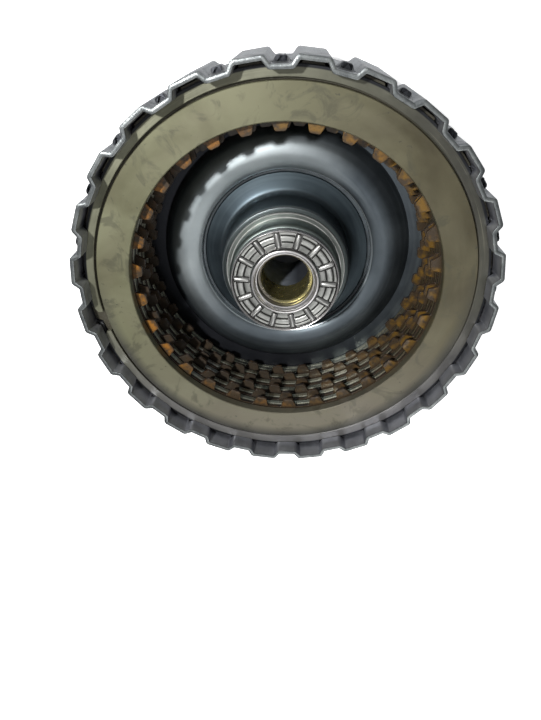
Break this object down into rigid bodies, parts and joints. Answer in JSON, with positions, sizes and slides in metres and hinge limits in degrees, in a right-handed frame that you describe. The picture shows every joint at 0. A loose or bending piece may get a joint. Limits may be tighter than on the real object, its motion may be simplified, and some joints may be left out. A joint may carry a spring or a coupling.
{
  "type": "multi-plate clutch drum",
  "caption": "Splined sheet-steel clutch drum with a plate pack, hydraulic piston, return spring, central hub and thrust needle bearing.",
  "frame": {"origin": "on the drum axis, in the plane of the flat back wall that the drum stands on", "axes": "+Z along the drum axis out of its open end, +X through the middle of one valley of the drum's splines"},
  "size_m": [0.1898, 0.1898, 0.0687],
  "materials": {
    "drum_sheet": "formed sheet steel, satin, light blue-grey",
    "hub_steel": "turned and ground steel",
    "bronze": "bronze bush, satin",
    "piston_steel": "pressed steel, dark blue-grey phosphate, satin gloss",
    "balance_steel": "pressed steel, dark blue-grey, satin",
    "rubber_seal": "moulded oil seal rubber",
    "spring_steel": "hardened spring steel, dark",
    "ring_steel": "flat spring-steel ring, oil-stained",
    "backing_steel": "machined, oil-stained olive grey",
    "plate_steel": "smooth steel plate",
    "friction_core": "steel core plate under an amber adhesive film",
    "friction_paper": "oil-soaked friction paper",
    "bearing_steel": "hardened bearing steel, polished",
    "cage_steel": "pressed steel cage"
  },
  "bodies": {
    "drum": {"drum_shell": "drum_sheet", "hub": "hub_steel", "hub_bush": "bronze", "balance_piston": "balance_steel", "balance_piston_seal": "rubber_seal", "retainer_snap_ring": "ring_steel", "return_spring": "spring_steel", "backing_plate": "backing_steel", "backing_snap_ring": "ring_steel", "bearing_race": "bearing_steel"},
    "piston": {"apply_piston": "piston_steel", "piston_outer_seal": "rubber_seal", "piston_inner_seal": "rubber_seal"},
    "cushion": {"cushion_plate": "plate_steel"},
    "steel_1": {"steel_plate_1": "plate_steel"},
    "steel_2": {"steel_plate_2": "plate_steel"},
    "steel_3": {"steel_plate_3": "plate_steel"},
    "steel_4": {"steel_plate_4": "plate_steel"},
    "steel_5": {"steel_plate_5": "plate_steel"},
    "steel_6": {"steel_plate_6": "plate_steel"},
    "friction_1": {"friction_plate_1": "friction_core", "lining_front_1": "friction_paper", "lining_rear_1": "friction_paper"},
    "friction_2": {"friction_plate_2": "friction_core", "lining_front_2": "friction_paper", "lining_rear_2": "friction_paper"},
    "friction_3": {"friction_plate_3": "friction_core", "lining_front_3": "friction_paper", "lining_rear_3": "friction_paper"},
    "friction_4": {"friction_plate_4": "friction_core", "lining_front_4": "friction_paper", "lining_rear_4": "friction_paper"},
    "friction_5": {"friction_plate_5": "friction_core", "lining_front_5": "friction_paper", "lining_rear_5": "friction_paper"},
    "friction_6": {"friction_plate_6": "friction_core", "lining_front_6": "friction_paper", "lining_rear_6": "friction_paper"},
    "cage": {"bearing_cage": "cage_steel"},
    "roller_01": {"roller_01": "bearing_steel"},
    "roller_02": {"roller_02": "bearing_steel"},
    "roller_03": {"roller_03": "bearing_steel"},
    "roller_04": {"roller_04": "bearing_steel"},
    "roller_05": {"roller_05": "bearing_steel"},
    "roller_06": {"roller_06": "bearing_steel"},
    "roller_07": {"roller_07": "bearing_steel"},
    "roller_08": {"roller_08": "bearing_steel"},
    "roller_09": {"roller_09": "bearing_steel"},
    "roller_10": {"roller_10": "bearing_steel"},
    "roller_11": {"roller_11": "bearing_steel"},
    "roller_12": {"roller_12": "bearing_steel"},
    "roller_13": {"roller_13": "bearing_steel"},
    "roller_14": {"roller_14": "bearing_steel"}
  },
  "joints": [
    {"name": "piston_apply", "type": "slide", "parent": "drum", "child": "piston", "axis": [0, 0, 1], "range_m": [0, 0.002], "stiffness_N_per_m": 20000, "springref_m": -0.001, "deforming": ["return_spring"]},
    {"name": "cushion_slide", "type": "slide", "parent": "drum", "child": "cushion", "axis": [0, 0, 1], "range_m": [0, 0.00176]},
    {"name": "steel_1_slide", "type": "slide", "parent": "drum", "child": "steel_1", "axis": [0, 0, 1], "range_m": [0, 0.00026]},
    {"name": "steel_2_slide", "type": "slide", "parent": "drum", "child": "steel_2", "axis": [0, 0, 1], "range_m": [0, 0.00051]},
    {"name": "steel_3_slide", "type": "slide", "parent": "drum", "child": "steel_3", "axis": [0, 0, 1], "range_m": [0, 0.00076]},
    {"name": "steel_4_slide", "type": "slide", "parent": "drum", "child": "steel_4", "axis": [0, 0, 1], "range_m": [0, 0.00101]},
    {"name": "steel_5_slide", "type": "slide", "parent": "drum", "child": "steel_5", "axis": [0, 0, 1], "range_m": [0, 0.00126]},
    {"name": "steel_6_slide", "type": "slide", "parent": "drum", "child": "steel_6", "axis": [0, 0, 1], "range_m": [0, 0.00151]},
    {"name": "friction_1_spin", "type": "hinge", "parent": "steel_1", "child": "friction_1", "pos_m": [0, 0, 0.0539], "axis": [0, 0, 1], "continuous": true},
    {"name": "friction_2_spin", "type": "hinge", "parent": "steel_2", "child": "friction_2", "pos_m": [0, 0, 0.04745], "axis": [0, 0, 1], "continuous": true},
    {"name": "friction_3_spin", "type": "hinge", "parent": "steel_3", "child": "friction_3", "pos_m": [0, 0, 0.041], "axis": [0, 0, 1], "continuous": true},
    {"name": "friction_4_spin", "type": "hinge", "parent": "steel_4", "child": "friction_4", "pos_m": [0, 0, 0.03455], "axis": [0, 0, 1], "continuous": true},
    {"name": "friction_5_spin", "type": "hinge", "parent": "steel_5", "child": "friction_5", "pos_m": [0, 0, 0.0281], "axis": [0, 0, 1], "continuous": true},
    {"name": "friction_6_spin", "type": "hinge", "parent": "steel_6", "child": "friction_6", "pos_m": [0, 0, 0.02165], "axis": [0, 0, 1], "continuous": true},
    {"name": "cage_spin", "type": "hinge", "parent": "drum", "child": "cage", "pos_m": [0, 0, 0.0532], "axis": [0, 0, 1], "continuous": true},
    {"name": "roller_01_spin", "type": "hinge", "parent": "cage", "child": "roller_01", "pos_m": [0.01887, 0.00747, 0.0532], "axis": [0.9298, 0.3681, 0], "continuous": true},
    {"name": "roller_02_spin", "type": "hinge", "parent": "cage", "child": "roller_02", "pos_m": [0.01376, 0.01492, 0.0532], "axis": [0.678, 0.7351, 0], "continuous": true},
    {"name": "roller_03_spin", "type": "hinge", "parent": "cage", "child": "roller_03", "pos_m": [0.00592, 0.01942, 0.0532], "axis": [0.2919, 0.9565, 0], "continuous": true},
    {"name": "roller_04_spin", "type": "hinge", "parent": "cage", "child": "roller_04", "pos_m": [-0.00309, 0.02006, 0.0532], "axis": [-0.152, 0.9884, 0], "continuous": true},
    {"name": "roller_05_spin", "type": "hinge", "parent": "cage", "child": "roller_05", "pos_m": [-0.01149, 0.01674, 0.0532], "axis": [-0.5658, 0.8245, 0], "continuous": true},
    {"name": "roller_06_spin", "type": "hinge", "parent": "cage", "child": "roller_06", "pos_m": [-0.01761, 0.0101, 0.0532], "axis": [-0.8675, 0.4974, 0], "continuous": true},
    {"name": "roller_07_spin", "type": "hinge", "parent": "cage", "child": "roller_07", "pos_m": [-0.02025, 0.00146, 0.0532], "axis": [-0.9974, 0.0717, 0], "continuous": true},
    {"name": "roller_08_spin", "type": "hinge", "parent": "cage", "child": "roller_08", "pos_m": [-0.01887, -0.00747, 0.0532], "axis": [-0.9298, -0.3681, 0], "continuous": true},
    {"name": "roller_09_spin", "type": "hinge", "parent": "cage", "child": "roller_09", "pos_m": [-0.01376, -0.01492, 0.0532], "axis": [-0.678, -0.7351, 0], "continuous": true},
    {"name": "roller_10_spin", "type": "hinge", "parent": "cage", "child": "roller_10", "pos_m": [-0.00592, -0.01942, 0.0532], "axis": [-0.2919, -0.9565, 0], "continuous": true},
    {"name": "roller_11_spin", "type": "hinge", "parent": "cage", "child": "roller_11", "pos_m": [0.00309, -0.02006, 0.0532], "axis": [0.152, -0.9884, 0], "continuous": true},
    {"name": "roller_12_spin", "type": "hinge", "parent": "cage", "child": "roller_12", "pos_m": [0.01149, -0.01674, 0.0532], "axis": [0.5658, -0.8245, 0], "continuous": true},
    {"name": "roller_13_spin", "type": "hinge", "parent": "cage", "child": "roller_13", "pos_m": [0.01761, -0.0101, 0.0532], "axis": [0.8675, -0.4974, 0], "continuous": true},
    {"name": "roller_14_spin", "type": "hinge", "parent": "cage", "child": "roller_14", "pos_m": [0.02025, -0.00146, 0.0532], "axis": [0.9974, -0.0717, 0], "continuous": true}
  ],
  "couplings": [
    {"joint": "cushion_slide", "follows": "piston_apply", "ratio": 0.875},
    {"joint": "steel_1_slide", "follows": "piston_apply", "ratio": 0.125},
    {"joint": "steel_2_slide", "follows": "piston_apply", "ratio": 0.25},
    {"joint": "steel_3_slide", "follows": "piston_apply", "ratio": 0.375},
    {"joint": "steel_4_slide", "follows": "piston_apply", "ratio": 0.5},
    {"joint": "steel_5_slide", "follows": "piston_apply", "ratio": 0.625},
    {"joint": "steel_6_slide", "follows": "piston_apply", "ratio": 0.75},
    {"joint": "roller_01_spin", "follows": "cage_spin", "ratio": -17.652},
    {"joint": "roller_02_spin", "follows": "cage_spin", "ratio": -17.652},
    {"joint": "roller_03_spin", "follows": "cage_spin", "ratio": -17.652},
    {"joint": "roller_04_spin", "follows": "cage_spin", "ratio": -17.652},
    {"joint": "roller_05_spin", "follows": "cage_spin", "ratio": -17.652},
    {"joint": "roller_06_spin", "follows": "cage_spin", "ratio": -17.652},
    {"joint": "roller_07_spin", "follows": "cage_spin", "ratio": -17.652},
    {"joint": "roller_08_spin", "follows": "cage_spin", "ratio": -17.652},
    {"joint": "roller_09_spin", "follows": "cage_spin", "ratio": -17.652},
    {"joint": "roller_10_spin", "follows": "cage_spin", "ratio": -17.652},
    {"joint": "roller_11_spin", "follows": "cage_spin", "ratio": -17.652},
    {"joint": "roller_12_spin", "follows": "cage_spin", "ratio": -17.652},
    {"joint": "roller_13_spin", "follows": "cage_spin", "ratio": -17.652},
    {"joint": "roller_14_spin", "follows": "cage_spin", "ratio": -17.652}
  ]
}
